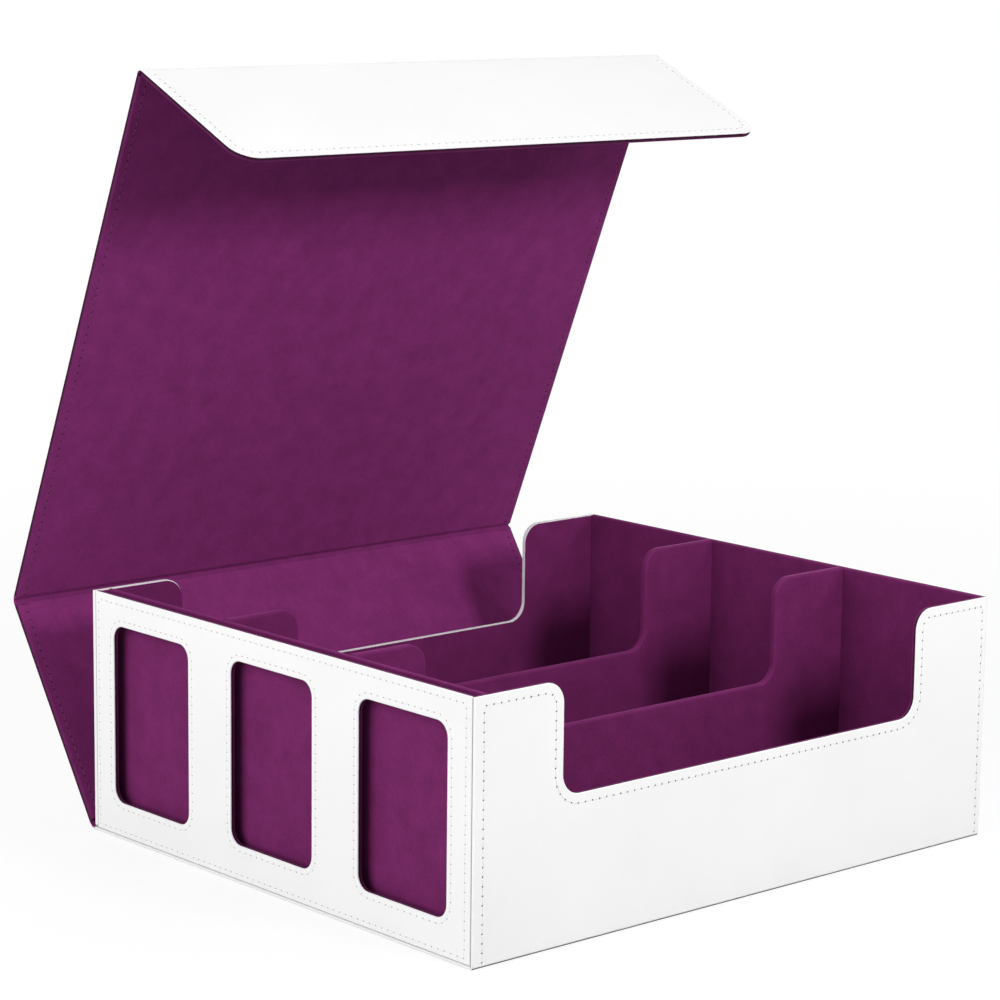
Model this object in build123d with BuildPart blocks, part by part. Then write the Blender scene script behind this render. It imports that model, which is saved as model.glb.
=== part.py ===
from build123d import *
from math import cos, radians, sin
import os

# A trading card storage box: a tray of card rows with display windows in one end wall, and a
# cover of three stiff panels that folds over the tray from its rear edge. Millimetres.
# The origin is the middle of the tray's underside. +X runs along the front wall, -Y faces the
# front, +Z is up. The windows are in the -X wall and the cover is hinged along the +Y edge.

# Sheet materials
leather = 0.6
board = 2.0
lining = 0.4

# Cards and the rows that hold them
card_width = 63.5
card_height = 88.9
row_count = 3
row_length = 315.2
row_width = 88.7
floor_core = 1.5
divider_core = 3.2
divider_rise = 0.3

# Display windows, and the pockets behind them that are open at the top
card_lip_side = 1.75
card_lip_end = 1.05
window_sill = 18.0
window_head = 14.2
window_radius = 7.0
pocket_gap = 4.4
pocket_spacer = 14.0
pocket_floor = 10.0
spacer_drop = 2.0
inner_core = 1.6

# Hand notch in the front wall, the rear wall and the dividers
post_width = 51.0
notch_depth = 51.6
notch_radius = 10.0

# Cover: clearances when it is shut, the flap, and the angle of each panel in the open pose,
# in degrees from the vertical, positive towards the rear
rear_gap = 0.3
lid_gap = 0.3
front_gap = 4.0
fold_clearance = 0.5
flap_length = 86.5
flap_radius = 12.0
base_angle = 90.0
spine_angle = 33.28
lid_angle = -22.66
flap_angle = -115.06

# Magnets in the flap and the steel discs that they meet in the front wall, under its posts
magnet_radius = 6.0
magnet_thickness = 1.5
keeper_radius = 7.0
keeper_thickness = 1.0
disc_play = 0.1
magnet_inset = 14.0

# Sizes that follow
wall = leather + board + lining
divider = divider_core + 2 * lining
inner_wall = inner_core + 2 * lining
row_pitch = row_width + divider
window_width = card_width - 2 * card_lip_side
window_height = card_height - 2 * card_lip_end
box_length = row_length + wall + wall + pocket_gap + inner_wall
box_depth = row_count * row_width + (row_count - 1) * divider + 2 * wall
box_height = window_sill + window_height + window_head
notch_width = box_length - 2 * post_width
board_width = box_length - 2 * leather
inside_depth = box_depth - 2 * wall

# Places that follow
base_top = leather + board
floor_core_top = base_top + floor_core
floor_top = floor_core_top + lining
pocket_left = -box_length / 2 + wall
inner_left = pocket_left + pocket_gap
row_left = inner_left + inner_wall
row_right = box_length / 2 - wall
inside_y = (-inside_depth / 2, inside_depth / 2)

# The cover bends about lines in the middle of its leather
panel_rise = board + lining + leather / 2
hinge_gap = panel_rise + fold_clearance
base_reach = rear_gap + panel_rise
spine_length = box_height + divider_rise + lid_gap + panel_rise - leather / 2
lid_length = box_depth + base_reach + front_gap + panel_rise
cover_width = box_length
magnet_spacing = box_length - post_width
magnet_reach = flap_length - magnet_inset
keeper_height = spine_length + leather / 2 - magnet_reach

# Walls are drawn on planes that face inwards from their outer faces, with Z as the local Y
front_plane = Plane(origin=(0, -box_depth / 2, 0), x_dir=(-1, 0, 0), z_dir=(0, 1, 0))
rear_plane = Plane(origin=(0, box_depth / 2, 0), x_dir=(1, 0, 0), z_dir=(0, -1, 0))
right_plane = Plane(origin=(box_length / 2, 0, 0), x_dir=(0, -1, 0), z_dir=(-1, 0, 0))
window_plane = Plane(origin=(-box_length / 2, 0, 0), x_dir=(0, 1, 0), z_dir=(1, 0, 0))

TINY = 1e-4


def save(part, name):
    """Labels a finished piece and writes it under its name."""
    part.label = name
    export_step(part, f"parts/{name}.step")


def slab(x, y, z):
    """A straight-sided piece between two limits along each axis."""
    with BuildPart() as piece:
        with BuildSketch(Plane.XY.offset(z[0])):
            with Locations(((x[0] + x[1]) / 2, (y[0] + y[1]) / 2)):
                Rectangle(x[1] - x[0], y[1] - y[0])
        extrude(amount=z[1] - z[0])
    return piece.part


def sheet(plane, face, start, end):
    """A flat layer of one outline, between two depths from its plane."""
    with BuildPart() as layer:
        with BuildSketch(plane.offset(start)):
            add(face)
        extrude(amount=end - start)
    return layer.part


def wrap(plane, face, start, end, core_face, core_start, core_end):
    """A layer that covers a core and folds over the edges where the core is drawn in."""
    with BuildPart() as layer:
        with BuildSketch(plane.offset(start)):
            add(face)
        extrude(amount=end - start)
        with BuildSketch(plane.offset(core_start)):
            add(core_face)
        extrude(amount=core_end - core_start, mode=Mode.SUBTRACT)
    return layer.part


def plain_face(width, bottom, top):
    """A wall's outline with a straight top edge."""
    with BuildSketch() as face:
        with Locations((0, (bottom + top) / 2)):
            Rectangle(width, top - bottom)
    return face.sketch


def notch_corners(face, half, level):
    """The two corners of the hand notch at one height."""
    corners = face.vertices().filter_by_position(Axis.X, -half - TINY, half + TINY)
    return corners.filter_by_position(Axis.Y, level - TINY, level + TINY)


def notched_face(width, bottom, top, inset=0.0, shift=0.0):
    """A wall's outline with the hand notch, drawn in at the notch by inset and moved by shift."""
    half = notch_width / 2 + inset
    low = box_height - notch_depth - inset
    with BuildSketch() as face:
        with BuildLine():
            Polyline(
                (shift - width / 2, bottom),
                (shift + width / 2, bottom),
                (shift + width / 2, top),
                (half, top),
                (half, low),
                (-half, low),
                (-half, top),
                (shift - width / 2, top),
                close=True,
            )
        make_face()
        fillet(notch_corners(face, half, low), radius=notch_radius + inset)
        fillet(notch_corners(face, half, top), radius=notch_radius - inset)
    return face.sketch


def window_face(width, bottom, top, inset=0.0):
    """The window wall's outline with one rounded window for each row, each wider by inset."""
    with BuildSketch() as face:
        add(plain_face(width, bottom, top))
        with Locations((0, window_sill + window_height / 2)):
            with GridLocations(row_pitch, window_height, row_count, 1):
                RectangleRounded(
                    window_width + 2 * inset,
                    window_height + 2 * inset,
                    window_radius + inset,
                    mode=Mode.SUBTRACT,
                )
    return face.sketch


def disc_spots(height):
    """Where the closure's two discs lie on a panel, at one height in its plane."""
    return [(-magnet_spacing / 2, height), (magnet_spacing / 2, height)]


def discs(plane, height, depth, radius, thickness):
    """The closure's two round discs, set into a board from one depth."""
    with BuildPart() as pair:
        with BuildSketch(plane.offset(depth)):
            with Locations(*disc_spots(height)):
                Circle(radius)
        extrude(amount=thickness)
    return pair.part


def recessed(plane, face, start, end, height, depth, radius, thickness):
    """A board with two round recesses for the closure's discs."""
    with BuildPart() as core:
        with BuildSketch(plane.offset(start)):
            add(face)
        extrude(amount=end - start)
        with BuildSketch(plane.offset(depth)):
            with Locations(*disc_spots(height)):
                Circle(radius + disc_play)
        extrude(amount=thickness, mode=Mode.SUBTRACT)
    return core.part


os.makedirs("parts", exist_ok=True)

# Base panel: the leather folds up round the board's two ends
base_y = (-box_depth / 2 + leather, box_depth / 2)

with BuildPart() as base_leather:
    with BuildSketch():
        with Locations((0, leather / 2)):
            Rectangle(box_length, box_depth - leather)
    extrude(amount=base_top)
    with BuildSketch(Plane.XY.offset(leather)):
        with Locations((0, leather / 2)):
            Rectangle(board_width, box_depth - leather)
    extrude(amount=board, mode=Mode.SUBTRACT)
save(base_leather.part, "base_leather")

save(slab((-board_width / 2, board_width / 2), base_y, (leather, base_top)), "base_board")
save(slab((pocket_left, row_right), inside_y, (base_top, floor_core_top)), "floor_board")
save(slab((row_left, row_right), inside_y, (floor_core_top, floor_top)), "floor_lining")

# Front wall: its leather hides the base panel's front edge and folds round the board's ends,
# and its lining folds over the top
front_core = notched_face(board_width, base_top, box_height - lining, lining)
front_lined = notched_face(board_width, base_top, box_height)
board_end = leather + board

with BuildPart() as front_wall_leather:
    with BuildSketch(front_plane):
        add(notched_face(box_length, 0, box_height))
    extrude(amount=leather)
    with BuildSketch(front_plane.offset(leather)):
        add(plain_face(box_length, base_top, box_height))
        add(plain_face(board_width, base_top, box_height), mode=Mode.SUBTRACT)
    extrude(amount=board + lining)
save(front_wall_leather.part, "front_wall_leather")
save(
    recessed(
        front_plane, front_core, leather, board_end,
        keeper_height, leather, keeper_radius, keeper_thickness,
    ),
    "front_wall_board",
)
save(
    wrap(front_plane, front_lined, leather, wall, front_core, leather, board_end),
    "front_wall_lining",
)
save(
    discs(front_plane, keeper_height, leather, keeper_radius, keeper_thickness),
    "front_wall_keepers",
)

# Rear wall: here the leather folds over the top edge and the notch too
rear_core = notched_face(board_width, base_top, box_height - leather, leather)

with BuildPart() as rear_wall_leather:
    with BuildSketch(rear_plane):
        add(notched_face(box_length, base_top, box_height))
    extrude(amount=leather)
    with BuildSketch(rear_plane.offset(leather)):
        add(notched_face(box_length, base_top, box_height))
        add(rear_core, mode=Mode.SUBTRACT)
    extrude(amount=board + lining)
save(rear_wall_leather.part, "rear_wall_leather")
save(sheet(rear_plane, rear_core, leather, board_end), "rear_wall_board")
save(sheet(rear_plane, rear_core, board_end, wall), "rear_wall_lining")

# Right end wall, between the front and rear walls
side_face = plain_face(inside_depth, base_top, box_height)
side_core = plain_face(inside_depth, base_top, box_height - lining)

save(sheet(right_plane, side_face, 0, leather), "right_wall_leather")
save(sheet(right_plane, side_core, leather, board_end), "right_wall_board")
save(
    wrap(right_plane, side_face, leather, wall, side_core, leather, board_end),
    "right_wall_lining",
)

# Window wall: the lining folds over the top edge and through each window
window_skin = window_face(inside_depth, base_top, box_height)
window_core = window_face(inside_depth, base_top, box_height - lining, lining)

save(sheet(window_plane, window_skin, 0, leather), "window_wall_leather")
save(sheet(window_plane, window_core, leather, board_end), "window_wall_board")
save(
    wrap(window_plane, window_skin, leather, wall, window_core, leather, board_end),
    "window_wall_lining",
)

# Inner panel that backs the display pockets, lined on both faces and over its top
inner_plane = Plane.YZ.offset(inner_left)
inner_face = plain_face(inside_depth, floor_core_top, box_height)
inner_core_face = plain_face(inside_depth, floor_core_top, box_height - lining)
inner_core_end = lining + inner_core

save(sheet(inner_plane, inner_core_face, lining, inner_core_end), "pocket_back_board")
save(
    wrap(inner_plane, inner_face, 0, inner_wall, inner_core_face, lining, inner_core_end),
    "pocket_back_lining",
)

# Strips that hold the two window panels apart: a rail under the pockets and uprights between them
pocket_x = (pocket_left, inner_left)
spacer_z = (pocket_floor, box_height - spacer_drop)

save(slab(pocket_x, inside_y, (floor_core_top, pocket_floor)), "pocket_rail")
for number in range(row_count + 1):
    middle = (number - row_count / 2) * row_pitch
    left = max(middle - pocket_spacer / 2, inside_y[0])
    right = min(middle + pocket_spacer / 2, inside_y[1])
    save(slab(pocket_x, (left, right), spacer_z), f"pocket_spacer_{number + 1}")

# Row dividers, notched like the front wall, lined on both faces and over the top
divider_middle = (row_left + row_right) / 2
divider_top = box_height + divider_rise
divider_face = notched_face(row_length, floor_top, divider_top, 0.0, divider_middle)
divider_core_face = notched_face(
    row_length, floor_top, divider_top - lining, lining, divider_middle
)
for number in range(1, row_count):
    middle = (number - row_count / 2) * row_pitch
    plane = Plane(origin=(0, middle + divider / 2, 0), x_dir=(1, 0, 0), z_dir=(0, -1, 0))
    core_end = lining + divider_core
    save(sheet(plane, divider_core_face, lining, core_end), f"divider_board_{number}")
    save(
        wrap(plane, divider_face, 0, divider, divider_core_face, lining, core_end),
        f"divider_lining_{number}",
    )


def along(lean):
    """The direction up a leaning panel, as rearward and upward parts."""
    return Vector(sin(radians(lean)), cos(radians(lean)))


def inward(lean):
    """The direction from a leaning panel's leather to its lining, as rearward and upward parts."""
    return Vector(-cos(radians(lean)), sin(radians(lean)))


def panel_plane(axis, lean):
    """A cover panel's plane, with its local Y up the panel from the fold at axis."""
    facing = inward(lean)
    return Plane(
        origin=(0, axis.X, axis.Y), x_dir=(1, 0, 0), z_dir=(0, facing.X, facing.Y)
    )


def panel_face(start, end, inset=0.0, corner=0.0):
    """A cover panel's outline between two distances from its fold, its far corners rounded."""
    with BuildSketch() as face:
        with Locations((0, (start + end) / 2)):
            Rectangle(cover_width - 2 * inset, end - start - 2 * inset)
        if corner:
            fillet(face.vertices().group_by(Axis.Y)[-1], radius=corner - inset)
    return face.sketch


# Folds of the cover, as rearward and upward places in the open pose
spine_axis = Vector(box_depth / 2 + base_reach, leather / 2)
lid_axis = spine_axis + along(spine_angle) * spine_length
flap_axis = lid_axis + along(lid_angle) * lid_length

spine_plane = panel_plane(spine_axis, spine_angle)
lid_plane = panel_plane(lid_axis, lid_angle)
flap_plane = panel_plane(flap_axis, flap_angle)

# Cover panels: leather outside, board, and a lining that folds round the board's edges
skin_low = -leather / 2
skin_high = leather / 2
core_high = skin_high + board
spine_span = (hinge_gap, spine_length - hinge_gap)
lid_span = (hinge_gap, lid_length - hinge_gap)
flap_span = (hinge_gap, flap_length)

for name, plane, span, corner in (
    ("spine", spine_plane, spine_span, 0.0),
    ("lid", lid_plane, lid_span, 0.0),
    ("flap", flap_plane, flap_span, flap_radius),
):
    face = panel_face(*span, 0.0, corner)
    core_face = panel_face(*span, lining, corner)
    save(sheet(plane, face, skin_low, skin_high), f"{name}_leather")
    save(
        wrap(plane, face, skin_high, panel_rise, core_face, skin_high, core_high),
        f"{name}_lining",
    )
    if name != "flap":
        save(sheet(plane, core_face, skin_high, core_high), f"{name}_board")

# The flap's board holds the magnets on its lining side
magnet_floor = core_high - magnet_thickness
save(
    recessed(
        flap_plane, panel_face(*flap_span, lining, flap_radius), skin_high, core_high,
        magnet_reach, magnet_floor, magnet_radius, magnet_thickness,
    ),
    "flap_board",
)
save(
    discs(flap_plane, magnet_reach, magnet_floor, magnet_radius, magnet_thickness),
    "flap_magnets",
)


def fold_strip(axis, lean_before, reach_before, lean_after, low, high):
    """One sheet across a fold, from the panel before it to the panel after it.

    The sheet lies between two heights from the middle of the leather. Its outer side goes round
    the fold in an arc where it lies outside that middle, and both sides meet in a mitre inside it.
    """
    facing_before = inward(lean_before)
    facing_after = inward(lean_after)
    mitre = (facing_before + facing_after) / (1 + facing_before.dot(facing_after))
    start = axis - along(lean_before) * reach_before
    end = axis + along(lean_after) * hinge_gap
    outer_start = start + facing_before * low
    outer_end = end + facing_after * low
    with BuildPart() as strip:
        with BuildSketch(Plane.YZ.offset(-cover_width / 2)):
            with BuildLine():
                if low < 0:
                    bend_start = axis + facing_before * low
                    bend_end = axis + facing_after * low
                    Line(outer_start, bend_start)
                    ThreePointArc(bend_start, axis + mitre.normalized() * low, bend_end)
                    Line(bend_end, outer_end)
                else:
                    Polyline(outer_start, axis + mitre * low, outer_end)
                Polyline(
                    outer_end,
                    end + facing_after * high,
                    axis + mitre * high,
                    start + facing_before * high,
                    outer_start,
                )
            make_face()
        extrude(amount=cover_width)
    return strip.part


# Soft folds between the base, the spine, the lid and the flap: leather with the lining glued in
for name, axis, lean_before, reach_before, lean_after in (
    ("spine", spine_axis, base_angle, base_reach, spine_angle),
    ("lid", lid_axis, spine_angle, hinge_gap, lid_angle),
    ("flap", flap_axis, lid_angle, hinge_gap, flap_angle),
):
    place = (axis, lean_before, reach_before, lean_after)
    save(fold_strip(*place, skin_low, skin_high), f"{name}_fold_leather")
    save(fold_strip(*place, skin_high, skin_high + lining), f"{name}_fold_lining")
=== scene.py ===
import math
from collections import namedtuple

import bmesh
import bpy
import numpy as np
from mathutils import Matrix, Vector, noise
from mathutils.geometry import delaunay_2d_cdt


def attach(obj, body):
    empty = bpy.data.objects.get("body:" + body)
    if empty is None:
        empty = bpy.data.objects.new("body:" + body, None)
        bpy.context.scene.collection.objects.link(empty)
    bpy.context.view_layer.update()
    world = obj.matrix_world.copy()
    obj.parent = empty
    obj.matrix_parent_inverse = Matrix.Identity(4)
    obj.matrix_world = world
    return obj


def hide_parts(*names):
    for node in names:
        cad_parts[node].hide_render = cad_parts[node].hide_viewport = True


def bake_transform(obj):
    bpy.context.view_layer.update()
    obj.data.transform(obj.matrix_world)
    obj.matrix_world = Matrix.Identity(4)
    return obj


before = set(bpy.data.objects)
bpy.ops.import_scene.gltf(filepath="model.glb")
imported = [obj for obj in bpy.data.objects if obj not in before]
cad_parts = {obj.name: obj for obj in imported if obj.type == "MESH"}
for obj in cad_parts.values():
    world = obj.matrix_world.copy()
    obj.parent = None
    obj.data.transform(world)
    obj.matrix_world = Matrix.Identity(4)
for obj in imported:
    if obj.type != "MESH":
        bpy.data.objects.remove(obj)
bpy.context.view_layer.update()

# Sizes of the box in millimetres and leans in degrees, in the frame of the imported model
MM = 0.001
LEATHER, BOARD, LINING = 0.6, 2.0, 0.4
ROWS, ROW_LENGTH, ROW_WIDTH = 3, 315.2, 88.7
FLOOR_CORE, DIVIDER_CORE, POCKET_CORE, POCKET_GAP = 1.5, 3.2, 1.6, 4.4
WINDOW_WIDTH, WINDOW_HEIGHT, WINDOW_RADIUS = 60.0, 86.8, 7.0
WINDOW_SILL, WINDOW_HEAD = 18.0, 14.2
POST_WIDTH, NOTCH_DEPTH, NOTCH_RADIUS = 51.0, 51.6, 10.0
DIVIDER_RISE, REAR_GAP, LID_GAP, FRONT_GAP, FOLD_CLEARANCE = 0.3, 0.3, 0.3, 4.0, 0.5
FLAP_LENGTH, FLAP_RADIUS = 86.5, 12.0
BASE_LEAN, SPINE_LEAN, LID_LEAN, FLAP_LEAN = 90.0, 33.28, -22.66, -115.06

# Sizes and places that follow
WALL = LEATHER + BOARD + LINING
DIVIDER, POCKET_BACK = DIVIDER_CORE + 2 * LINING, POCKET_CORE + 2 * LINING
ROW_PITCH = ROW_WIDTH + DIVIDER
HALF_LENGTH = (ROW_LENGTH + 2 * WALL + POCKET_GAP + POCKET_BACK) / 2
HALF_DEPTH = (ROWS * ROW_WIDTH + (ROWS - 1) * DIVIDER) / 2 + WALL
HEIGHT = WINDOW_SILL + WINDOW_HEIGHT + WINDOW_HEAD
HALF_BOARD = HALF_LENGTH - LEATHER
HALF_INSIDE = HALF_DEPTH - WALL
BASE_TOP = LEATHER + BOARD
FLOOR_BOARD_TOP = BASE_TOP + FLOOR_CORE
FLOOR_TOP = FLOOR_BOARD_TOP + LINING
NOTCH_HALF, NOTCH_LOW = HALF_LENGTH - POST_WIDTH, HEIGHT - NOTCH_DEPTH
WINDOW_TOP = HEIGHT - WINDOW_HEAD
ROW_RIGHT = HALF_LENGTH - WALL
ROW_LEFT = ROW_RIGHT - ROW_LENGTH
DIVIDER_TOP = HEIGHT + DIVIDER_RISE
SKIN_HALF = LEATHER / 2
PANEL_RISE = SKIN_HALF + BOARD + LINING
HINGE_GAP = PANEL_RISE + FOLD_CLEARANCE
BASE_REACH = REAR_GAP + PANEL_RISE
SPINE_LENGTH = DIVIDER_TOP + LID_GAP + PANEL_RISE - SKIN_HALF
LID_LENGTH = 2 * HALF_DEPTH + BASE_REACH + FRONT_GAP + PANEL_RISE

# Radii of the edges; a cut edge's is a share of the skin's thickness
TURNED_EDGE, LINED_EDGE, FOOT_EDGE, FINE_EDGE, SQUARE_EDGE = 0.8, 1.0, 0.5, 0.15, 0.05
POCKET_EDGE, DIVIDER_EDGE, CUT_EDGE = 0.8, 1.15, 0.75

# How far skins are folded round the tray's corners, and the grooves between them
CORNER_WRAP, CORNER_GAP = 1.0, 0.5
FOOT_WRAP, FOOT_GAP = 1.35, 0.3
FRONT_FOOT = 0.75
REAR_WRAP, REAR_BARE, REAR_GROOVE = WALL - LINING, 0.45, 0.2

# Stitching: length of a stitch, distances of the seams from the edges, thickness of the thread
STITCH, STITCH_INSET, WINDOW_STITCH = 4.2, 4.5, 2.8
SIDE_FRONT, SIDE_REAR, SIDE_FOOT, SIDE_TOP = 5.4, 5.0, 4.1, 3.7
SEAM_SHIFT, SEAM_END, COVER_SEAM_END = 1.0, 2.4, 1.0
THREAD, THREAD_SIDES, THREAD_SLANT, THREAD_SUNK = 0.16, 6, 0.10, -0.08

# A stitch, as shares of its length and heights above the skin
STITCH_PROFILE = (
    (0.10, -0.45), (0.15, -0.12), (0.26, 0.0), (0.5, 0.03), (0.74, 0.0), (0.85, -0.12), (0.90, -0.45),
)

# Needle holes: radius, depth, and how dark they are painted, as painted shade in the holes
Prick = namedtuple("Prick", "radius depth dark")
FRONT_PRICK = Prick(0.66, 0.5, 1.0)
SIDE_PRICK = Prick(0.56, 0.35, 0.7)
COVER_PRICK = Prick(0.72, 0.55, 1.0)
PRICK_SIDES = 6

# Painted shade on folded edges: at the far rim, in the groove beside the next skin, and fading over
# the roll
TRAY_SHADE, COVER_SHADE, GROOVE_SHADE, NO_SHADE = (0.85, 0.15), (0.9, 0.45), (0.8, 0.0), (0.0, 0.0)

# Unevenness of glued skins: depth, broad and fine waves, and where it fades towards an edge
SINK, WAVE, RIPPLE, RIPPLE_SHARE, RIPPLE_SEED, FADE = 0.14, 38, 13, 0.3, 5, 18

# Fineness of the shapes
EDGE_STEP, EDGE_CLOSE, ARC_STEPS, ROLL_STEPS = 9.0, 0.6, 4, 4
GRID, GRID_START, GRID_END, GRID_FROM_EDGE, GRID_FROM_SEAM = 8.0, 4, 3, 1.5, 2.4
FACE_MARGIN, SAME_PLACE = 0.35, 1e-6
FOLD_STEPS, FOLD_SECTIONS = 12, 41
WELD, SLIVER = 2e-6, 1e-7
CREASED, ROUND = 30, 180
INSIDE_ONLY = 1

# The inner side of the fold of spine and lid ends a little below the panels' lining
FOLD_BELOW = 0.1
FOLD_FULL = BOARD - FOLD_BELOW

Face = namedtuple("Face", "origin u v n")
Outline = namedtuple("Outline", "points wrapped")
Seam = namedtuple("Seam", "holes closed")
Bend = namedtuple("Bend", "axis lean_a reach lean_b bodies")


def along(lean):
    """The direction along a panel of the cover, from its hinge, by its lean from upright."""
    return np.array([0.0, math.sin(math.radians(lean)), math.cos(math.radians(lean))])


def inward(lean):
    """The direction out of the lined side of such a panel."""
    return np.array([0.0, -math.cos(math.radians(lean)), math.sin(math.radians(lean))])


SPINE_AXIS = np.array([0.0, HALF_DEPTH + BASE_REACH, SKIN_HALF])
LID_AXIS = SPINE_AXIS + SPINE_LENGTH * along(SPINE_LEAN)
FLAP_AXIS = LID_AXIS + LID_LENGTH * along(LID_LEAN)


def face_at(origin, u, v):
    """A flat face of a panel: an origin, two directions along it and the one out of it."""
    u, v = np.array(u, float), np.array(v, float)
    return Face(np.array(origin, float), u, v, np.cross(u, v))


def place(face, flat, height):
    """Points of the model, in metres, from places on a face and heights above it."""
    flat = np.asarray(flat, float).reshape(-1, 2)
    height = np.broadcast_to(np.asarray(height, float), len(flat))
    return MM * (
        face.origin + flat[:, :1] * face.u + flat[:, 1:] * face.v + height[:, None] * face.n
    )


def outline(corners):
    """A closed outline from right-angled corners (x, y, radius, edge wrapped), left side inside.

    The last value tells whether the edge that leaves the corner is folded over. An edge that isn't
    gets one more point close to a neighbour that is.
    """
    points, wrapped = [], []
    count = len(corners)
    places = [np.array(c[:2], float) for c in corners]
    for i, (_, _, radius, wrap) in enumerate(corners):
        here, there, past = places[i], places[(i + 1) % count], places[i - 1]
        _, _, next_radius, next_wrap = corners[(i + 1) % count]
        past_wrap = corners[i - 1][3]
        before = (here - past) / np.linalg.norm(here - past)
        after = (there - here) / np.linalg.norm(there - here)
        if radius:
            steps = max(ARC_STEPS, int(radius))
            centre = here - before * radius + after * radius
            angles = [math.pi / 2 * k / steps for k in range(steps + 1)]
            bend = [centre + radius * (before * math.sin(a) - after * math.cos(a)) for a in angles]
        else:
            bend = [here]
        points += bend
        wrapped += [wrap or past_wrap] * len(bend)
        start = here + after * radius
        end = there - after * next_radius
        length = np.linalg.norm(end - start)
        cuts = list(np.linspace(0, length, max(1, math.ceil(length / EDGE_STEP)) + 1)[1:-1])
        if not wrap and past_wrap and not radius:
            cuts.insert(0, EDGE_CLOSE)
        if not wrap and next_wrap and not next_radius:
            cuts.append(length - EDGE_CLOSE)
        points += [start + after * cut for cut in cuts]
        wrapped += [wrap] * len(cuts)
    return Outline(np.array(points), np.array(wrapped))


def rectangle(x, y, wraps=(False, False, False, False), radii=(0, 0, 0, 0)):
    """A rectangle's outline; the four edges are bottom, right, top and left."""
    spots = [(x[0], y[0]), (x[1], y[0]), (x[1], y[1]), (x[0], y[1])]
    return outline([(*s, r, w) for s, r, w in zip(spots, radii, wraps)])


def notched(x, bottom, top, sides=False, over_top=False, bare=0.0):
    """A wall's outline with the hand notch, lower than the wall's edge by the strip that is left bare.

    The values sides and over_top say which edges are folded over.
    """
    low, high = NOTCH_LOW - bare, top - bare
    return outline([
        (x[0], bottom, 0, False),
        (x[1], bottom, 0, sides),
        (x[1], high, 0, over_top),
        (NOTCH_HALF, high, NOTCH_RADIUS, over_top),
        (NOTCH_HALF, low, NOTCH_RADIUS, over_top),
        (-NOTCH_HALF, low, NOTCH_RADIUS, over_top),
        (-NOTCH_HALF, high, NOTCH_RADIUS, over_top),
        (x[0], high, 0, sides),
    ])


def windows(wrap):
    """The outlines of the three display windows, with the wall on their left."""
    made = []
    for middle in (-ROW_PITCH, 0, ROW_PITCH):
        a, b = middle - WINDOW_WIDTH / 2, middle + WINDOW_WIDTH / 2
        spots = [(a, WINDOW_SILL), (a, WINDOW_TOP), (b, WINDOW_TOP), (b, WINDOW_SILL)]
        made.append(outline([(*s, WINDOW_RADIUS, wrap) for s in spots]))
    return made


def mitres(points):
    """How each point of a closed outline moves when the outline is drawn in by one."""
    edges = np.roll(points, -1, 0) - points
    normals = np.stack([-edges[:, 1], edges[:, 0]], 1)
    normals /= np.linalg.norm(normals, axis=1, keepdims=True)
    before = np.roll(normals, 1, 0)
    return (normals + before) / (1 + (normals * before).sum(1))[:, None]


def drawn_in(points, inset):
    """An outline drawn in by one inset, or by one for each point."""
    return points + mitres(points) * np.reshape(inset, (-1, 1))


def from_edges(spots, loops):
    """The distance of each place from the nearest edge of some closed loops."""
    best = np.full(len(spots), np.inf)
    for points in loops:
        a, b = points, np.roll(points, -1, 0)
        d = b - a
        rel = spots[:, None] - a[None]
        t = np.clip((rel * d).sum(2) / (d * d).sum(1), 0, 1)
        best = np.minimum(best, np.linalg.norm(rel - t[..., None] * d, axis=2).min(1))
    return best


def within(spots, loops):
    """Which places lie inside an outer loop and outside the holes in it."""
    turn = np.zeros(len(spots))
    for points in loops:
        a = points[None] - spots[:, None]
        b = np.roll(points, -1, 0)[None] - spots[:, None]
        cross = a[..., 0] * b[..., 1] - a[..., 1] * b[..., 0]
        turn += np.arctan2(cross, (a * b).sum(2)).sum(1)
    return turn > math.pi


def seam(path, closed=False):
    """A seam along a path, its needle holes evenly spaced at about the stitch length."""
    path = np.asarray(path, float)
    if closed:
        path = np.vstack([path, path[:1]])
    run = np.concatenate([[0], np.cumsum(np.linalg.norm(np.diff(path, axis=0), axis=1))])
    count = max(2, round(run[-1] / STITCH))
    spots = np.linspace(0, run[-1], count + 1)
    if closed:
        spots = spots[:-1]
    return Seam(np.stack([np.interp(spots, run, path[:, k]) for k in (0, 1)], 1), closed)


def nearest(points, spot):
    """The index of the point nearest to a spot."""
    return np.linalg.norm(points - np.array(spot), axis=1).argmin()


def open_seam(shape):
    """A seam inside an outline, up its right side and round to the foot of its left side."""
    low, high = shape.points.min(0), shape.points.max(0)
    first = nearest(shape.points, (high[0], low[1]))
    path = np.roll(drawn_in(shape.points, STITCH_INSET), -first, 0)
    return seam(path[: nearest(path, low + STITCH_INSET) + 1])


def stitches_of(seams):
    """The two ends of every stitch of some seams."""
    starts, ends = [], []
    for run in seams:
        following = np.roll(run.holes, -1, 0)
        keep = slice(None) if run.closed else slice(0, -1)
        starts.append(run.holes[keep])
        ends.append(following[keep])
    return np.vstack(starts), np.vstack(ends)


def unevenness(spots, seed, amount):
    """A slight sinking of a glued skin, smooth and never above its face."""
    return np.array([
        -amount * (0.5 + 0.5 * noise.noise(Vector((x / WAVE, y / WAVE, seed))))
        - RIPPLE_SHARE * amount
        * (0.5 + 0.5 * noise.noise(Vector((x / RIPPLE, y / RIPPLE, seed + RIPPLE_SEED))))
        for x, y in spots
    ])


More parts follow.
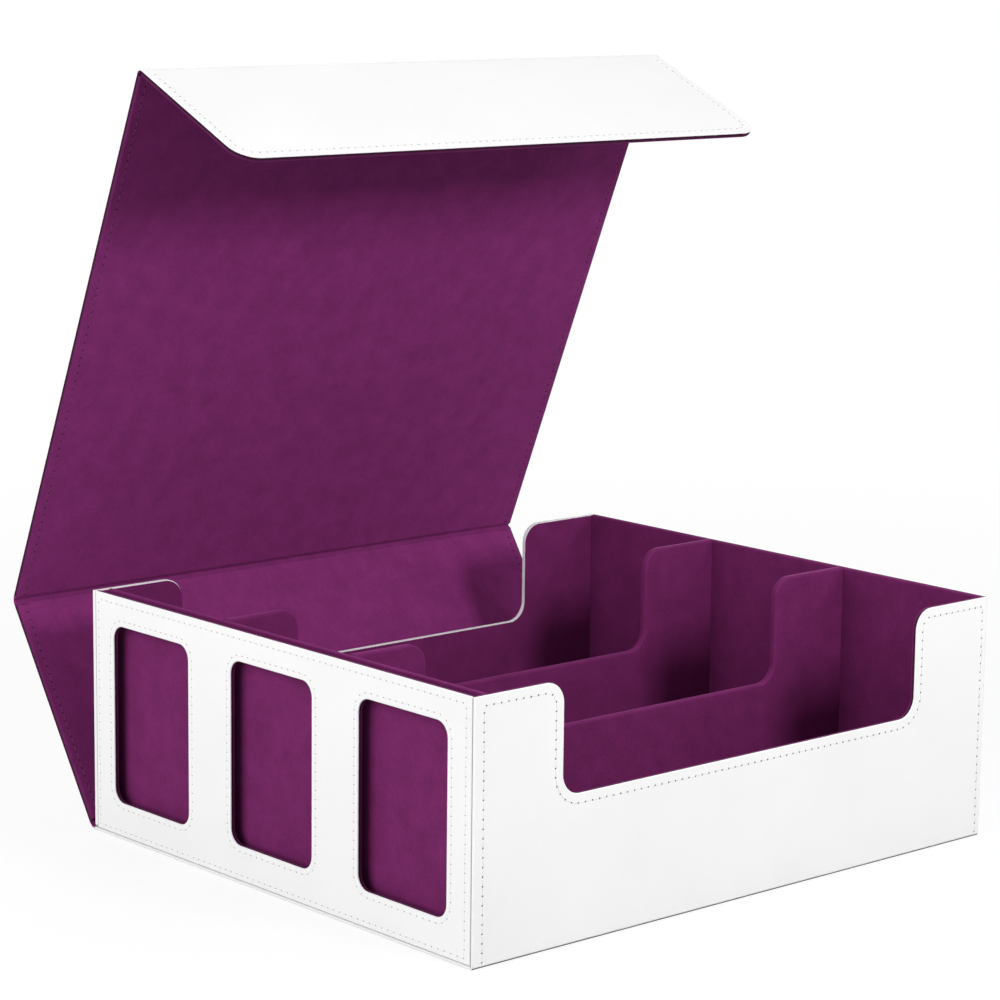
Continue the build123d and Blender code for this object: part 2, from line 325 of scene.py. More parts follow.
def triangles(loops, spots=()):
    """Triangles between closed loops, through free spots; indices run over the loops, then spots."""
    flat = np.vstack([*loops, spots]) if len(spots) else np.vstack(loops)
    edges, start = [], 0
    for points in loops:
        count = len(points)
        edges += [(start + i, start + (i + 1) % count) for i in range(count)]
        start += count
    _, _, faces, origins, _, _ = delaunay_2d_cdt(
        [Vector(p) for p in flat], edges, [], INSIDE_ONLY, SAME_PLACE
    )
    made = np.array([[origins[i][0] for i in f] for f in faces])
    return made[within(flat[made].mean(1), loops)].tolist()


def skin_spots(loops, seams, seed, sink, prick):
    """Free points of a skin's face: a loose grid, and rings round the needle holes.

    Gives the places, their heights and how dark each is painted: painted shade in the needle holes.
    """
    low, high = loops[0].min(0), loops[0].max(0)
    xs, ys = (np.arange(low[k] + GRID_START, high[k] - GRID_END, GRID) for k in (0, 1))
    grid = np.stack(np.meshgrid(xs, ys), -1).reshape(-1, 2)
    grid = grid[within(grid, loops) & (from_edges(grid, loops) > GRID_FROM_EDGE)]
    spots, depth, dark = grid, 0.0, np.zeros(len(grid))
    if seams:
        holes = np.vstack([s.holes for s in seams])
        starts, ends = stitches_of(seams)
        sewn = np.vstack([holes, (starts + ends) / 2])
        grid = grid[np.linalg.norm(grid[:, None] - sewn[None], axis=2).min(1) > GRID_FROM_SEAM]
        angles = [2 * math.pi * k / PRICK_SIDES for k in range(PRICK_SIDES)]
        rings = [holes + prick.radius * np.array([math.cos(a), math.sin(a)]) for a in angles]
        spots = np.vstack([grid, holes, *rings])
        pricked = np.zeros(len(spots))
        pricked[len(grid) : len(grid) + len(holes)] = 1
        depth, dark = prick.depth * pricked, prick.dark * pricked
    heights = unevenness(spots, seed, sink) * np.clip(from_edges(spots, loops) / FADE, 0, 1)
    return spots, heights - depth, dark


class Mesh:
    """Collects the vertices and faces of one piece."""

    def __init__(self):
        self.points, self.faces, self.dark = [], [], []
        self.count = 0

    def add(self, points, dark=0.0):
        start = self.count
        self.points.append(points)
        self.dark.append(np.broadcast_to(np.asarray(dark, float), len(points)))
        self.count += len(points)
        return start

    def ring_faces(self, first, second, count):
        for i in range(count):
            j = (i + 1) % count
            self.faces.append((first + i, first + j, second + j, second + i))

    def build(self, name, material, smooth_angle=CREASED):
        data = bpy.data.meshes.new(name)
        data.from_pydata(np.vstack(self.points).tolist(), [], self.faces)
        # Painted shade of needle holes and folded edges, and the dark of raw edges, one value for each
        # vertex
        hole = data.attributes.new("hole", "FLOAT", "POINT")
        hole.data.foreach_set("value", np.concatenate(self.dark).astype(np.float32))
        made = bmesh.new()
        made.from_mesh(data)
        bmesh.ops.remove_doubles(made, verts=made.verts, dist=WELD)
        bmesh.ops.dissolve_degenerate(made, edges=made.edges, dist=SLIVER)
        bmesh.ops.recalc_face_normals(made, faces=made.faces)
        made.to_mesh(data)
        made.free()
        data.shade_smooth()
        data.set_sharp_from_angle(angle=math.radians(smooth_angle))
        data.materials.append(material)
        piece = bpy.data.objects.new(name, data)
        bpy.context.scene.collection.objects.link(piece)
        return piece


def rolled_edge():
    """Insets and drops of a rolled edge of radius one, from its side to its face."""
    angles = [math.pi / 2 * k / ROLL_STEPS for k in range(ROLL_STEPS + 1)]
    return [(1 - math.cos(angle), 1 - math.sin(angle)) for angle in angles]


def stand_for(piece, node, body):
    """The piece takes a node's place on its body."""
    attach(piece, body)
    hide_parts(node)


def indices(rows):
    """The vertices of some loops, each given by its first vertex and its points."""
    return [i for start, flat in rows for i in range(start, start + len(flat))]


def shell(name, material, face, outlines, skin, depth, radius, seams=(), seed=0.0, sink=SINK,
          shade=NO_SHADE, cut=0.0, prick=FRONT_PRICK):
    """A skin on one face of a board, with rolled edges, folded back by depth where it is wrapped.

    The shade is the painted shade of a folded edge, at its far rim in the groove and on its roll; cut
    is how dark a raw edge is painted, partly its own colour and partly painted shade.
    """
    mesh = Mesh()
    tops, backs = [], []
    for points, wrapped in outlines:
        count = len(points)
        deep = np.where(wrapped, depth, skin)
        thick = np.where(wrapped, skin, 0.0)
        roll = np.where(wrapped, radius, min(radius, CUT_EDGE * skin))
        rows = [(np.zeros(count), -deep)]
        rows += [(roll * inset, -roll * drop) for inset, drop in rolled_edge()]
        rows.append((roll + FACE_MARGIN, np.zeros(count)))
        shades = [shade[0], *np.linspace(shade[1], 0, len(rows) - 1)]
        raw = [cut, *np.linspace(cut, 0, len(rows) - 1)]
        starts = [
            mesh.add(place(face, drawn_in(points, i), h), np.where(wrapped, dark, edge))
            for (i, h), dark, edge in zip(rows, shades, raw)
        ]
        for first, second in zip(starts, starts[1:]):
            mesh.ring_faces(first, second, count)
        inner = drawn_in(points, thick)
        rim = mesh.add(place(face, inner, -deep), np.where(wrapped, shade[0], cut))
        back = mesh.add(place(face, inner, -skin))
        mesh.ring_faces(rim, starts[0], count)
        mesh.ring_faces(back, rim, count)
        tops.append((starts[-1], drawn_in(points, roll + FACE_MARGIN)))
        backs.append((back, inner))
    loops = [flat for _, flat in tops]
    spots, heights, dark = skin_spots(loops, seams, seed, sink, prick)
    free = mesh.add(place(face, spots, heights), dark)
    index = [*indices(tops), *range(free, free + len(spots))]
    mesh.faces += [tuple(index[i] for i in f) for f in triangles(loops, spots)]
    index = indices(backs)
    mesh.faces += [tuple(index[i] for i in f[::-1]) for f in triangles([flat for _, flat in backs])]
    return mesh.build(name, material)


def case(name, material, face, shape, thickness, radius, seed):
    """A lining round a whole board: both faces and the edges, with room for the board inside."""
    mesh = Mesh()
    points, wrapped = shape
    count = len(points)
    roll = np.where(wrapped, radius, SQUARE_EDGE)
    edge = [(roll * inset, roll * drop) for inset, drop in rolled_edge()]
    rows = [*reversed([(i, d - thickness) for i, d in edge]), *[(i, -d) for i, d in edge]]
    rows = [(roll + FACE_MARGIN, -thickness), *rows, (roll + FACE_MARGIN, 0.0)]
    starts = [mesh.add(place(face, drawn_in(points, i), h)) for i, h in rows]
    for first, second in zip(starts, starts[1:]):
        mesh.ring_faces(first, second, count)
    loop = drawn_in(points, roll + FACE_MARGIN)
    for start, level, sign in ((starts[-1], 0.0, 1), (starts[0], -thickness, -1)):
        spots, heights, dark = skin_spots([loop], (), seed + level, SINK, None)
        free = mesh.add(place(face, spots, level + sign * heights), dark)
        index = [*range(start, start + count), *range(free, free + len(spots))]
        mesh.faces += [tuple(index[i] for i in f[::sign]) for f in triangles([loop], spots)]
    room = drawn_in(points, LINING)
    low = mesh.add(place(face, room, LINING - thickness))
    high = mesh.add(place(face, room, -LINING))
    mesh.ring_faces(high, low, count)
    for start, sign in ((high, -1), (low, 1)):
        mesh.faces += [tuple(start + i for i in f[::sign]) for f in triangles([room])]
    return mesh.build(name, material)


def threads(name, material, face, seams, body, lift=0.0):
    """Sewing thread over one face: each stitch comes out of one needle hole and goes into the next."""
    starts, ends = stitches_of(seams)
    run = ends - starts
    side = np.stack([-run[:, 1], run[:, 0]], 1) / np.linalg.norm(run, axis=1, keepdims=True)
    mesh = Mesh()
    rings = []
    for share, height in STITCH_PROFILE:
        middle = starts + run * share + side * (THREAD_SLANT - 2 * THREAD_SLANT * share)
        height += lift
        ring = []
        for k in range(THREAD_SIDES):
            angle = 2 * math.pi * k / THREAD_SIDES
            spot = middle + side * THREAD * math.cos(angle)
            ring.append(mesh.add(place(face, spot, height + THREAD * math.sin(angle))))
        rings.append(ring)
    for i in range(len(starts)):
        for first, second in zip(rings, rings[1:]):
            for k in range(THREAD_SIDES):
                j = (k + 1) % THREAD_SIDES
                mesh.faces.append((first[k] + i, first[j] + i, second[j] + i, second[k] + i))
        mesh.faces.append(tuple(s + i for s in reversed(rings[0])))
        mesh.faces.append(tuple(s + i for s in rings[-1]))
    piece = mesh.build(name, material, ROUND)
    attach(piece, body)


def fold(name, material, bend, low, high, node, swell=0.0):
    """A soft strip round a fold of the cover, between the two panels beside it.

    Its inner side rises from the crease in the middle by its swell, towards both panels.
    """
    axis = bend.axis
    start = axis - along(bend.lean_a) * bend.reach
    end = axis + along(bend.lean_b) * HINGE_GAP
    sections = []
    for k in range(FOLD_STEPS + 1):
        t = k / FOLD_STEPS
        spot = start * (1 - t) ** 2 + axis * 2 * t * (1 - t) + end * t**2
        run = (axis - start) * (1 - t) + (end - axis) * t
        run /= np.linalg.norm(run)
        out = np.array([0.0, -run[2], run[1]])
        sections.append((spot + out * low, spot + out * (high + swell * abs(2 * t - 1))))
    ring = [s[0] for s in sections] + [s[1] for s in reversed(sections)]
    mesh = Mesh()
    across = np.linspace(-HALF_LENGTH, HALF_LENGTH, FOLD_SECTIONS)
    rows = [mesh.add(MM * (np.array(ring) + np.array([x, 0, 0]))) for x in across]
    for first, second in zip(rows, rows[1:]):
        mesh.ring_faces(first, second, len(ring))
    for row, flip in ((rows[0], 1), (rows[-1], -1)):
        for k in range(FOLD_STEPS):
            other = len(ring) - 1 - k
            mesh.faces.append((row + k, row + k + 1, row + other - 1, row + other)[::flip])
    piece = mesh.build(name, material)
    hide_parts(node)
    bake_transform(piece)


# Grey values between which a noise lies, the nap of a lining lies and the painted shade of needle
# holes, grooves and raw edges takes over
NOISE_RANGE, NAP_RANGE, SHADE_AND_RAW_EDGE_RANGE, FULL_RANGE = (0.3, 0.7), (0.55, 1.25), (0.1, 0.6), (0.0, 1.0)

# How much the roughness of thread and board varies to both sides
FIBRE_VARIES = 0.08


def grey(value):
    return (value, value, value)


def new_material(name):
    """A material, its nodes and its shader."""
    material = bpy.data.materials.new(name)
    material.use_nodes = True
    return material, material.node_tree, material.node_tree.nodes["Principled BSDF"]


def own_place(tree):
    """The piece's own coordinates."""
    node = tree.nodes.get("own_place")
    if node is None:
        node = tree.nodes.new("ShaderNodeTexCoord")
        node.name = "own_place"
    return node.outputs["Object"]


def clouds(tree, **values):
    """A noise over the piece, as a grey value."""
    node = tree.nodes.new("ShaderNodeTexNoise")
    for key, value in values.items():
        node.inputs[key.title()].default_value = value
    tree.links.new(own_place(tree), node.inputs["Vector"])
    return node.outputs["Fac"]


def pebbles(tree, scale):
    """The rounded cells of a grain, as a grey value."""
    node = tree.nodes.new("ShaderNodeTexVoronoi")
    node.feature = "SMOOTH_F1"
    node.inputs["Scale"].default_value = scale
    tree.links.new(own_place(tree), node.inputs["Vector"])
    return node.outputs["Distance"]


def ramp(tree, source, colours, ends=NOISE_RANGE):
    """Colours in turn, evenly spaced over a range of a grey value."""
    node = tree.nodes.new("ShaderNodeValToRGB")
    elements = node.color_ramp.elements
    while len(elements) < len(colours):
        elements.new(0.5)
    for element, position, colour in zip(elements, np.linspace(*ends, len(colours)), colours):
        element.position = position
        element.color = (*colour, 1)
    tree.links.new(source, node.inputs["Fac"])
    return node.outputs["Color"]


def spread(tree, source, low, high, ends=FULL_RANGE):
    """A grey value, brought from one range to another."""
    node = tree.nodes.new("ShaderNodeMapRange")
    node.inputs["From Min"].default_value, node.inputs["From Max"].default_value = ends
    node.inputs["To Min"].default_value = low
    node.inputs["To Max"].default_value = high
    tree.links.new(source, node.inputs["Value"])
    return node.outputs["Result"]


def with_painted_shade_and_raw_edge(tree, tone, hole):
    """A colour that gives way to painted shade where the piece marks it: in needle holes, in the
    grooves of folded edges and on raw edges.
    """
    mark = tree.nodes.new("ShaderNodeAttribute")
    mark.attribute_name = "hole"
    node = tree.nodes.new("ShaderNodeMix")
    node.data_type = "RGBA"
    sockets = {s.identifier: s for s in node.inputs}
    tree.links.new(spread(tree, mark.outputs["Fac"], 0.0, 1.0, SHADE_AND_RAW_EDGE_RANGE), sockets["Factor_Float"])
    tree.links.new(tone, sockets["A_Color"])
    sockets["B_Color"].default_value = (*hole, 1)
    return next(s for s in node.outputs if s.identifier == "Result_Color")


def added(tree, first, second, share):
    """One grey value and a share of another."""
    node = tree.nodes.new("ShaderNodeMath")
    node.operation = "MULTIPLY_ADD"
    tree.links.new(second, node.inputs[0])
    node.inputs[1].default_value = share
    tree.links.new(first, node.inputs[2])
    return node.outputs[0]


def bump(tree, shader, height, strength, distance):
    """Relief on a shader's surface from a grey value, its distance in metres."""
    node = tree.nodes.new("ShaderNodeBump")
    node.inputs["Strength"].default_value = strength
    node.inputs["Distance"].default_value = distance
    tree.links.new(height, node.inputs["Height"])
    tree.links.new(node.outputs["Normal"], shader.inputs["Normal"])


def leather_material(name, tones, hole):
    """Coated leather: fine pebbles with creases between them, slightly uneven in tone and gloss."""
    material, tree, shader = new_material(name)
    tone = ramp(tree, clouds(tree, scale=22.0, detail=4.0), tones)
    creases = clouds(tree, scale=420.0, detail=5.0)
    gloss = spread(tree, creases, low=0.56, high=0.7, ends=NOISE_RANGE)
    # Needle holes, grooves and raw edges take the painted shade colour
    tree.links.new(with_painted_shade_and_raw_edge(tree, tone, hole), shader.inputs["Base Color"])
    tree.links.new(gloss, shader.inputs["Roughness"])
    shader.inputs["Specular IOR Level"].default_value = 0.3
    height = added(tree, pebbles(tree, scale=900.0), creases, share=0.6)
    bump(tree, shader, height, strength=0.11, distance=0.0004)
    return material


def lining_material(name, tones, hole):
    """Microfibre: a brushed nap that lies in soft clouds, over fine fibres."""
    material, tree, shader = new_material(name)
    nap = clouds(tree, scale=85.0, detail=5.0, roughness=0.62)
    fibres = clouds(tree, scale=700.0, detail=4.0, roughness=0.7)
    mixed = spread(tree, added(tree, nap, fibres, share=0.8), low=0.0, high=1.0, ends=NAP_RANGE)
    tone = ramp(tree, mixed, tones, FULL_RANGE)
    # Needle holes and grooves take the painted shade colour
    tree.links.new(with_painted_shade_and_raw_edge(tree, tone, hole), shader.inputs["Base Color"])
    tree.links.new(spread(tree, fibres, low=0.8, high=0.95), shader.inputs["Roughness"])
    shader.inputs["Specular IOR Level"].default_value = 0.1
    shader.inputs["Sheen Weight"].default_value = 0.22
    shader.inputs["Sheen Roughness"].default_value = 0.4
    shader.inputs["Sheen Tint"].default_value = (0.75, 0.2, 0.62, 1)
    bump(tree, shader, fibres, strength=0.35, distance=0.0003)
    return material


def speckled_material(name, tones, scale, detail, roughness, low, high, strength, distance):
    """A surface in two tones of one noise, which also sets its gloss and its relief."""
    material, tree, shader = new_material(name)
    specks = clouds(tree, scale=scale, detail=detail, roughness=roughness)
    tree.links.new(ramp(tree, specks, tones), shader.inputs["Base Color"])
    tree.links.new(spread(tree, specks, low, high, NOISE_RANGE), shader.inputs["Roughness"])
    bump(tree, shader, specks, strength, distance)
    return material, shader


def fibre_material(name, tones, scale, rough):
    """Thread, and the grey pulp of boards: short fibres in two tones."""
    material, _ = speckled_material(
        name, tones, scale, detail=6.0, roughness=0.7, low=rough - FIBRE_VARIES,
        high=rough + FIBRE_VARIES, strength=0.4, distance=0.0003,
    )
    return material


def steel_material(name, tones):
    """Nickel-plated steel with fine turning marks."""
    material, shader = speckled_material(
        name, tones, scale=900.0, detail=3.0, roughness=0.5, low=0.24, high=0.4,
        strength=0.1, distance=0.0001,
    )
    shader.inputs["Metallic"].default_value = 1.0
    return material


# Colours of the painted shade in needle holes, grooves and raw edges: near black on the white leather,
# deep purple on the linings
PURPLE_PAINTED_SHADE = (0.03, 0.004, 0.02)
white = leather_material("white_leather", [grey(0.86), grey(0.885)], grey(0.07))
tray_purple = lining_material(
    "purple_tray_lining",
    [(0.118, 0.0130, 0.080), (0.151, 0.0165, 0.103), (0.184, 0.0215, 0.127)], PURPLE_PAINTED_SHADE,
)
# The cover's lining is the same fabric as the tray's, made lighter: painted light for the brighter
# light and sheen on the cover's panels
purple_cover_painted_lighter = lining_material(
    "purple_cover_lining_painted_lighter",
    [(0.159, 0.0190, 0.113), (0.201, 0.0247, 0.145), (0.245, 0.032, 0.178)], PURPLE_PAINTED_SHADE,
)
white_thread = fibre_material(
    "white_thread", [(0.72, 0.72, 0.71), (0.82, 0.82, 0.81)], scale=1600.0, rough=0.6,
)
purple_thread = fibre_material(
    "purple_thread", [(0.14, 0.018, 0.1), (0.2, 0.028, 0.145)], scale=1600.0, rough=0.7,
)
grey_board = fibre_material(
    "grey_board", [(0.27, 0.25, 0.23), (0.36, 0.34, 0.31)], scale=600.0, rough=0.85,
)
steel = steel_material("plated_steel", [(0.48, 0.48, 0.49), grey(0.6)])

# Faces of the tray, seen from outside or from inside
X, Y, Z = np.eye(3)
front_out, front_in = face_at(-HALF_DEPTH * Y, X, Z), face_at(-HALF_INSIDE * Y, -X, Z)
rear_out, rear_in = face_at(HALF_DEPTH * Y, -X, Z), face_at(HALF_INSIDE * Y, X, Z)
right_out, right_in = face_at(HALF_LENGTH * X, Y, Z), face_at(ROW_RIGHT * X, -Y, Z)
window_out, window_in = face_at(-HALF_LENGTH * X, -Y, Z), face_at((WALL - HALF_LENGTH) * X, Y, Z)
base_out = face_at((0, 0, 0), X, -Y)

# Widths and heights that panels share, and the wraps of one that is lined over its top edge
full = (-HALF_LENGTH, HALF_LENGTH)
boarded = (-HALF_BOARD, HALF_BOARD)
inside = (-HALF_INSIDE, HALF_INSIDE)
above_base = (BASE_TOP, HEIGHT)
top_only = (False, False, True, False)

# Front wall; its seam sits a little to the right and stops above the foot
seam_width = (SEAM_SHIFT - HALF_LENGTH, SEAM_SHIFT + HALF_LENGTH)
front_seams = [open_seam(notched(seam_width, SEAM_END - STITCH_INSET, HEIGHT))]
# The front skin's folded side edges carry painted shade in the grooves at the corners
stand_for(
    shell("front_wall_skin", white, front_out, [notched(full, FRONT_FOOT, HEIGHT, sides=True)],
          LEATHER, CORNER_WRAP, TURNED_EDGE, front_seams, seed=1.0, shade=GROOVE_SHADE),
    "front_wall_leather", "tray",
)
threads("front_wall_stitches", white_thread, front_out, front_seams, "tray")
# The lining's folded top edge carries painted shade in the groove beside the leather
stand_for(
    shell("front_wall_lined", tray_purple, front_in,
          [notched(boarded, BASE_TOP, HEIGHT, over_top=True)],
          LINING, BOARD + LINING, LINED_EDGE, seed=2.0, shade=TRAY_SHADE),
    "front_wall_lining", "tray",
)

# Rear wall; its leather is folded over the top, and the lining leaves a strip of it bare
rear_seams = [seam(drawn_in(notched(full, BASE_TOP, HEIGHT).points, STITCH_INSET), closed=True)]
stand_for(
    shell("rear_wall_skin", white, rear_out,
          [notched(full, BASE_TOP, HEIGHT, sides=True, over_top=True)],
          LEATHER, REAR_WRAP, TURNED_EDGE, rear_seams, seed=3.0),
    "rear_wall_leather", "tray",
)
threads("rear_wall_stitches", white_thread, rear_out, rear_seams, "tray")
stand_for(
    shell("rear_wall_lined", tray_purple, rear_in,
          [notched(boarded, BASE_TOP, HEIGHT, bare=REAR_BARE)],
          LINING, LINING, FINE_EDGE, seed=4.0),
    "rear_wall_lining", "tray",
)


def end_wall(to_front):
    """The outline of an end wall's skin and its seam, on a face that runs to the front or the rear."""
    front, rear = HALF_DEPTH - CORNER_WRAP - CORNER_GAP, HALF_DEPTH - REAR_WRAP - REAR_GROOVE
    width, sewn = (-front, rear), (SIDE_FRONT - HALF_DEPTH, HALF_DEPTH - SIDE_REAR)
    if to_front:
        width, sewn = (-rear, front), (SIDE_REAR - HALF_DEPTH, HALF_DEPTH - SIDE_FRONT)
    shape = rectangle(width, (FOOT_WRAP + FOOT_GAP, HEIGHT))
    return shape, seam(rectangle(sewn, (SIDE_FOOT, HEIGHT - SIDE_TOP)).points, closed=True)


# End walls: the right one is plain, the left one has the windows
right_shape, right_seam = end_wall(to_front=False)
window_shape, window_seam = end_wall(to_front=True)
window_seams = [
    window_seam, *[seam(drawn_in(w.points, WINDOW_STITCH), closed=True) for w in windows(False)],
]
for name, seed, out, cuts, seams, lined, openings in (
    ("right_wall", 5.0, right_out, [right_shape], [right_seam], right_in, []),
    ("window_wall", 7.0, window_out, [window_shape, *windows(False)], window_seams,
     window_in, windows(True)),
):
    stand_for(
        shell(f"{name}_skin", white, out, cuts, LEATHER, LEATHER, LEATHER, seams, seed,
              prick=SIDE_PRICK),
        f"{name}_leather", "tray",
    )
    threads(f"{name}_stitches", white_thread, out, seams, "tray", THREAD_SUNK)
    # The lining's folded edges carry painted shade in the groove beside the leather
    stand_for(
        shell(f"{name}_lined", tray_purple, lined,
              [rectangle(inside, above_base, top_only), *openings],
              LINING, BOARD + LINING, LINED_EDGE, seed=seed + 1, shade=TRAY_SHADE),
        f"{name}_lining", "tray",
    )

# Base; its leather is folded up at both ends, and its raw front and rear edges are painted dark:
# partly the raw edge's own colour, partly painted shade for the dark line where the box meets the
# floor
base_shape = rectangle(full, (-HALF_DEPTH, HALF_DEPTH - LEATHER), (False, True, False, True))
stand_for(
    shell("base_skin", white, base_out, [base_shape], LEATHER, FOOT_WRAP, FOOT_EDGE, seed=9.0,
          sink=0.0, cut=1.0),
    "base_leather", "tray",
)

# Linings round the pocket panel and the dividers
stand_for(
    case("pocket_back_lined", tray_purple, face_at(ROW_LEFT * X, Y, Z),
         rectangle(inside, (FLOOR_BOARD_TOP, HEIGHT), top_only), POCKET_BACK, POCKET_EDGE, seed=10.0),
    "pocket_back_lining", "tray",
)
for number, middle, seed in ((1, -ROW_PITCH / 2, 12.0), (2, ROW_PITCH / 2, 13.0)):
    stand_for(
        case(f"divider_{number}_lined", tray_purple, face_at((middle - DIVIDER / 2) * Y, X, Z),
             notched((ROW_LEFT, ROW_RIGHT), FLOOR_TOP, DIVIDER_TOP, over_top=True),
             DIVIDER, DIVIDER_EDGE, seed),
        f"divider_lining_{number}", "tray",
    )

# Cover panels; their lining is folded over the edges, but runs on into the fold of spine and lid
for name, axis, lean, end, corner, wraps, seed in (
    ("spine", SPINE_AXIS, SPINE_LEAN, SPINE_LENGTH - HINGE_GAP, 0.0, (True, True, False, True), 20.0),
    ("lid", LID_AXIS, LID_LEAN, LID_LENGTH - HINGE_GAP, 0.0, (False, True, True, True), 30.0),
    ("flap", FLAP_AXIS, FLAP_LEAN, FLAP_LENGTH, FLAP_RADIUS, (True, True, True, True), 40.0),
):
    out = face_at(axis - SKIN_HALF * inward(lean), -X, along(lean))
    lined = face_at(axis + PANEL_RISE * inward(lean), X, along(lean))
    span = (HINGE_GAP, end)
    radii = (0, 0, corner, corner)
    shape = rectangle(full, span, radii=radii)
    if corner:
        seams = [open_seam(shape)]
    else:
        ends = np.array([span[0] + COVER_SEAM_END, span[1] - COVER_SEAM_END])
        sides = (STITCH_INSET - HALF_LENGTH, HALF_LENGTH - STITCH_INSET)
        seams = [seam(np.stack([np.full(2, x), ends], 1)) for x in sides]
    stand_for(
        shell(f"{name}_skin", white, out, [shape], LEATHER, LEATHER, LEATHER, seams, seed,
              prick=COVER_PRICK),
        f"{name}_leather", name,
    )
    threads(f"{name}_outer_stitches", white_thread, out, seams, name)
    # The lining's folded edges carry painted shade in the groove beside the leather and over the roll
    stand_for(
        shell(f"{name}_lined", purple_cover_painted_lighter, lined, [rectangle(full, span, wraps, radii)],
              LINING, BOARD + LINING, LINED_EDGE, seams, seed + 1, shade=COVER_SHADE,
              prick=COVER_PRICK),
        f"{name}_lining", name,
    )
    threads(f"{name}_inner_stitches", purple_thread, lined, seams, name)

# Soft folds of the cover
for name, bend, swell in (
    ("spine", Bend(SPINE_AXIS, BASE_LEAN, BASE_REACH, SPINE_LEAN, ("tray", "spine")), 0.0),
    ("lid", Bend(LID_AXIS, SPINE_LEAN, HINGE_GAP, LID_LEAN, ("spine", "lid")), FOLD_FULL),
    ("flap", Bend(FLAP_AXIS, LID_LEAN, HINGE_GAP, FLAP_LEAN, ("lid", "flap")), 0.0),
):
    fold(f"{name}_fold_skin", white, bend, -SKIN_HALF, SKIN_HALF,
         f"{name}_fold_leather")
    fold(f"{name}_fold_lined", purple_cover_painted_lighter, bend, SKIN_HALF, SKIN_HALF + LINING,
         f"{name}_fold_lining", swell)

# Finishes of the pieces that stay as they are
for name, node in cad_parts.items():
    if node.hide_render:
        continue
    if "magnets" in name or "keepers" in name:
        finish = steel
    elif "board" in name:
        finish = grey_board
    else:
        finish = tray_purple
    node.data.materials.clear()
    node.data.materials.append(finish)

# Floor, surround and camera, in metres, degrees and, for the camera's lens, millimetres
FLOOR_WHITE, FLOOR_BOUNCE, FLOOR_REACH, FLOOR_DROP = 0.94, 0.45, 6.0, 1e-4
FLOOR_NEAR, FLOOR_FAR, GLOW_NEAR, GLOW_FAR = 0.35, 1.1, 0.82, 1.0
SKY, BACKDROP = 0.38, 1.0
CAMERA_SPOT = (-1.03613, -1.13886, 0.44193)
CAMERA_YAW, CAMERA_PITCH, CAMERA_ROLL = 41.539, 10.220, 0.658
CAMERA_LENS, CAMERA_SENSOR = 117.59, 36.0


def seen_directly(tree):
    """One for rays that show the background itself: from the camera, a mirror or glass."""
    path = tree.nodes.new("ShaderNodeLightPath")
    seen = path.outputs["Is Camera Ray"]
    for ray in ("Is Glossy Ray", "Is Transmission Ray"):
        either = tree.nodes.new("ShaderNodeMath")
        either.operation = "MAXIMUM"
        tree.links.new(seen, either.inputs[0])
        tree.links.new(path.outputs[ray], either.inputs[1])
        seen = either.outputs[0]
    return seen


def mixed_shader(tree, share, first, second):
    """Two shaders, mixed by a share."""
    node = tree.nodes.new("ShaderNodeMixShader")
    tree.links.new(share, node.inputs["Fac"])
    tree.links.new(first, node.inputs[1])
    tree.links.new(second, node.inputs[2])
    return node.outputs[0]


def matt_shader(tree, whiteness):
    """A matt white or grey surface."""
    node = tree.nodes.new("ShaderNodeBsdfDiffuse")
    node.inputs["Color"].default_value = (*grey(whiteness), 1)
    return node.outputs[0]


def studio_floor():
    """A wide pale floor that shows almost white and keeps the object's shadow."""
    data = bpy.data.meshes.new("floor")
    corners = ((-1, -1), (1, -1), (1, 1), (-1, 1))
    spots = [(x * FLOOR_REACH, y * FLOOR_REACH, -FLOOR_DROP) for x, y in corners]
    data.from_pydata(spots, [], [(0, 1, 2, 3)])
    floor = bpy.data.objects.new("floor", data)
    bpy.context.scene.collection.objects.link(floor)
    material = bpy.data.materials.new("floor_white")
    material.use_nodes = True
    tree = material.node_tree
    tree.nodes.clear()
    distance = tree.nodes.new("ShaderNodeVectorMath")
    distance.operation = "LENGTH"
    tree.links.new(own_place(tree), distance.inputs[0])
    glow_share = spread(tree, distance.outputs["Value"], GLOW_NEAR, GLOW_FAR, (FLOOR_NEAR, FLOOR_FAR))
    glow = tree.nodes.new("ShaderNodeEmission").outputs[0]
    shown = mixed_shader(tree, glow_share, matt_shader(tree, FLOOR_WHITE), glow)
    chosen = mixed_shader(tree, seen_directly(tree), matt_shader(tree, FLOOR_BOUNCE), shown)
    tree.links.new(chosen, tree.nodes.new("ShaderNodeOutputMaterial").inputs["Surface"])
    data.materials.append(material)


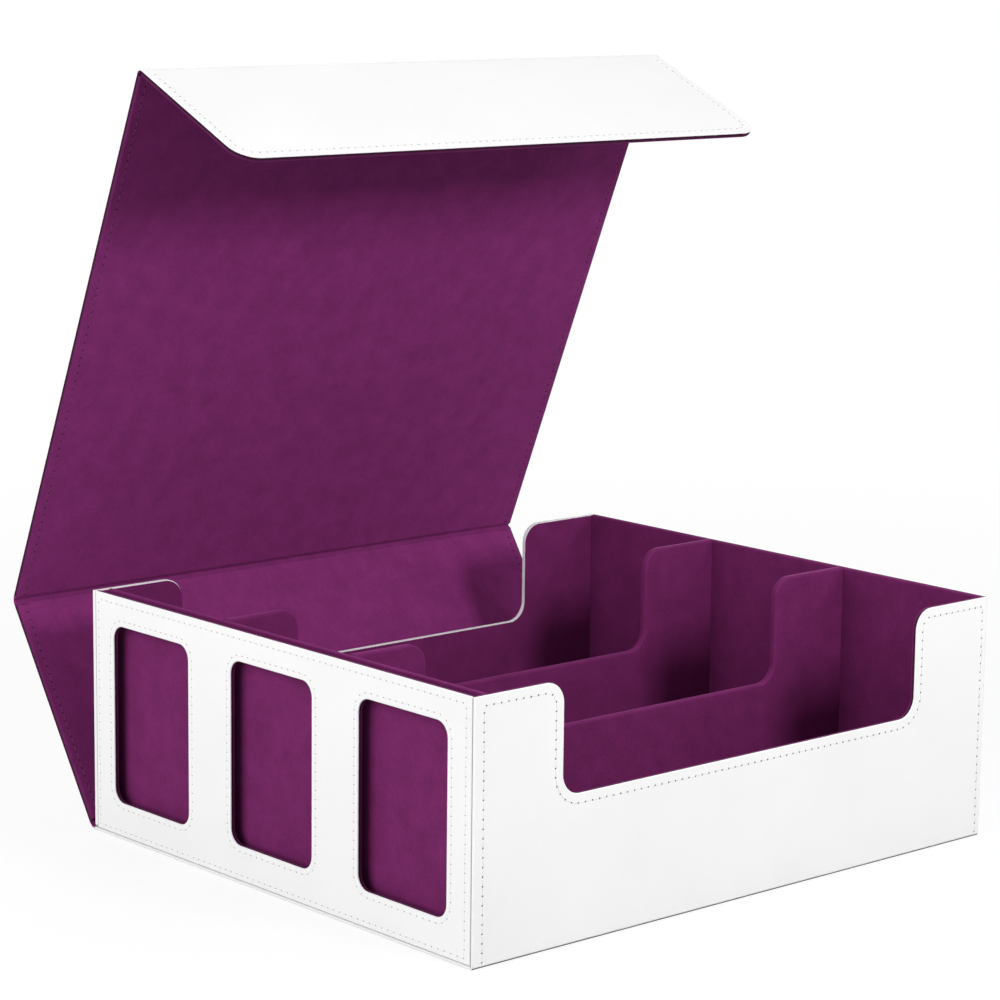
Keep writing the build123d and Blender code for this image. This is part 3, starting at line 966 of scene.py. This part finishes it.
def studio_world():
    """A white surround, dimmer as a light than as a background."""
    world = bpy.data.worlds.new("studio")
    world.use_nodes = True
    tree = world.node_tree
    tree.nodes.clear()
    shaders = []
    for strength in (SKY, BACKDROP):
        node = tree.nodes.new("ShaderNodeBackground")
        node.inputs["Color"].default_value = (*grey(1), 1)
        node.inputs["Strength"].default_value = strength
        shaders.append(node.outputs[0])
    chosen = mixed_shader(tree, seen_directly(tree), *shaders)
    tree.links.new(chosen, tree.nodes.new("ShaderNodeOutputWorld").inputs["Surface"])
    bpy.context.scene.world = world


def soft_light(name, spot, aim_height, size, power):
    """A square lamp that points at the object's middle at a height."""
    lamp = bpy.data.lights.new(name, "AREA")
    lamp.shape = "SQUARE"
    lamp.size = size
    lamp.energy = power
    made = bpy.data.objects.new(name, lamp)
    made.location = spot
    made.rotation_mode = "QUATERNION"
    made.rotation_quaternion = (Vector((0, 0, aim_height)) - Vector(spot)).to_track_quat("-Z", "Y")
    bpy.context.scene.collection.objects.link(made)


def camera():
    """The photograph's viewpoint: from the front left, looking slightly down."""
    yaw, pitch, roll = (math.radians(a) for a in (CAMERA_YAW, CAMERA_PITCH, CAMERA_ROLL))
    look = Vector((
        math.sin(yaw) * math.cos(pitch), math.cos(yaw) * math.cos(pitch), -math.sin(pitch),
    ))
    right = Vector((math.cos(yaw), -math.sin(yaw), 0))
    up = right.cross(look)
    across = math.cos(roll) * right + math.sin(roll) * up
    upward = math.cos(roll) * up - math.sin(roll) * right
    data = bpy.data.cameras.new("camera")
    data.lens, data.sensor_width = CAMERA_LENS, CAMERA_SENSOR
    made = bpy.data.objects.new("camera", data)
    turn = Matrix((across, upward, -look)).transposed().to_4x4()
    made.matrix_world = Matrix.Translation(Vector(CAMERA_SPOT)) @ turn
    bpy.context.scene.collection.objects.link(made)
    bpy.context.scene.camera = made


studio_floor()
studio_world()
soft_light("key", spot=(0.04, -1.12, 0.75), aim_height=0.12, size=0.3, power=8.6)
soft_light("fill", spot=(0.9, -1.2, 0.9), aim_height=0.1, size=0.5, power=3.5)
soft_light("side", spot=(-1.5, 0.04, 0.6), aim_height=0.08, size=1.2, power=16.9)
soft_light("top", spot=(0.0, 0.3, 1.7), aim_height=0.1, size=1.0, power=3.8)
soft_light("back", spot=(1.5, 2.8, 0.75), aim_height=0.12, size=1.6, power=40.0)
camera()
bpy.context.scene.view_settings.view_transform = "Standard"
